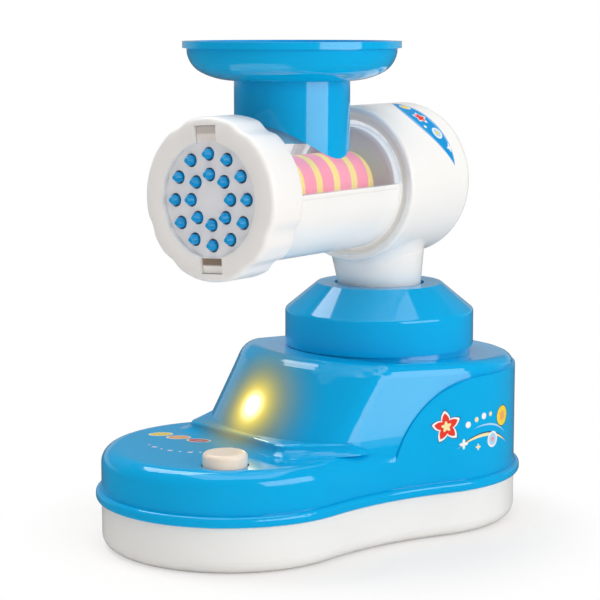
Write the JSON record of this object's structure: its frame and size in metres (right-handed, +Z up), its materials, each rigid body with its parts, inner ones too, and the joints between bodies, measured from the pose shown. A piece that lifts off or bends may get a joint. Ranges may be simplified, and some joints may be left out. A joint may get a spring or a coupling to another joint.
{
  "type": "toy meat grinder",
  "caption": "Battery toy meat grinder: shoe-shaped base with a push button and lamp, swivelling motor head, clear-topped auger barrel, peg plate in a ring nut and a round hopper.",
  "frame": {"origin": "where the swivel axis of the head meets the surface that the base stands on", "axes": "+Z up along the swivel axis, -Y towards the toe of the base, +X towards the pictured side"},
  "size_m": [0.0863, 0.1448, 0.15],
  "materials": {
    "blue": "glossy moulded",
    "white": "glossy moulded",
    "button": "glossy moulded",
    "clear": "clear polished",
    "auger": "glossy moulded",
    "pegs": "glossy moulded",
    "lamp": "clear tinted",
    "steel": "plated",
    "cell": "printed sleeve",
    "board": "solder mask",
    "switch": "moulded",
    "gear": "moulded",
    "bush": "sintered"
  },
  "bodies": {
    "base": {"base_shell": "blue", "base_tray": "white", "battery_door": "white", "battery_door_screw": "steel", "base_screws": "steel", "battery_cell_1": "cell", "battery_cell_2": "cell", "contact_plates": "steel", "contact_springs": "steel", "circuit_board": "board", "board_screws": "steel", "switch": "switch", "led_lamp": "lamp", "button_spring": "steel"},
    "button": {"push_button": "button"},
    "head": {"swivel_collar": "blue", "swivel_retainer": "gear", "retainer_screws": "steel", "motor_housing": "white", "rear_cap": "white", "housing_screws": "steel", "motor": "steel", "motor_screws": "steel", "idler_axle": "steel", "shaft_bush": "bush", "barrel_lower": "white", "clear_window": "clear"},
    "pinion": {"motor_pinion": "gear"},
    "idler": {"idler_gear": "gear"},
    "auger": {"auger_drum": "auger", "auger_shaft": "steel", "drive_gear": "gear"},
    "ring": {"ring_nut": "white", "hole_plate": "white", "peg_plate": "pegs"},
    "hopper": {"hopper": "blue"}
  },
  "joints": [
    {"name": "button_press", "type": "slide", "parent": "base", "child": "button", "axis": [0, 0, -1], "range_m": [0, 0.0018], "stiffness_N_per_m": 350, "springref_m": -0.0015, "deforming": ["button_spring"]},
    {"name": "head_swivel", "type": "hinge", "parent": "base", "child": "head", "pos_m": [0, 0, 0.06], "axis": [0, 0, 1], "range_deg": [-60.6, 29.4]},
    {"name": "auger_spin", "type": "hinge", "parent": "head", "child": "auger", "pos_m": [0, 0, 0.1064], "axis": [0.2689, -0.9632, 0], "continuous": true},
    {"name": "idler_spin", "type": "hinge", "parent": "head", "child": "idler", "pos_m": [0.00771, 0.00215, 0.1004], "axis": [0.2689, -0.9632, 0], "continuous": true},
    {"name": "motor_spin", "type": "hinge", "parent": "head", "child": "pinion", "pos_m": [0, 0, 0.0944], "axis": [0.2689, -0.9632, 0], "continuous": true},
    {"name": "ring_turn", "type": "hinge", "parent": "head", "child": "ring", "pos_m": [0, 0, 0.1064], "axis": [0.2689, -0.9632, 0], "range_deg": [0, 40]},
    {"name": "hopper_lift", "type": "slide", "parent": "head", "child": "hopper", "axis": [0, 0, 1], "range_m": [0, 0.008]}
  ],
  "couplings": [
    {"joint": "idler_spin", "follows": "auger_spin", "ratio": -3},
    {"joint": "motor_spin", "follows": "auger_spin", "ratio": 9}
  ]
}
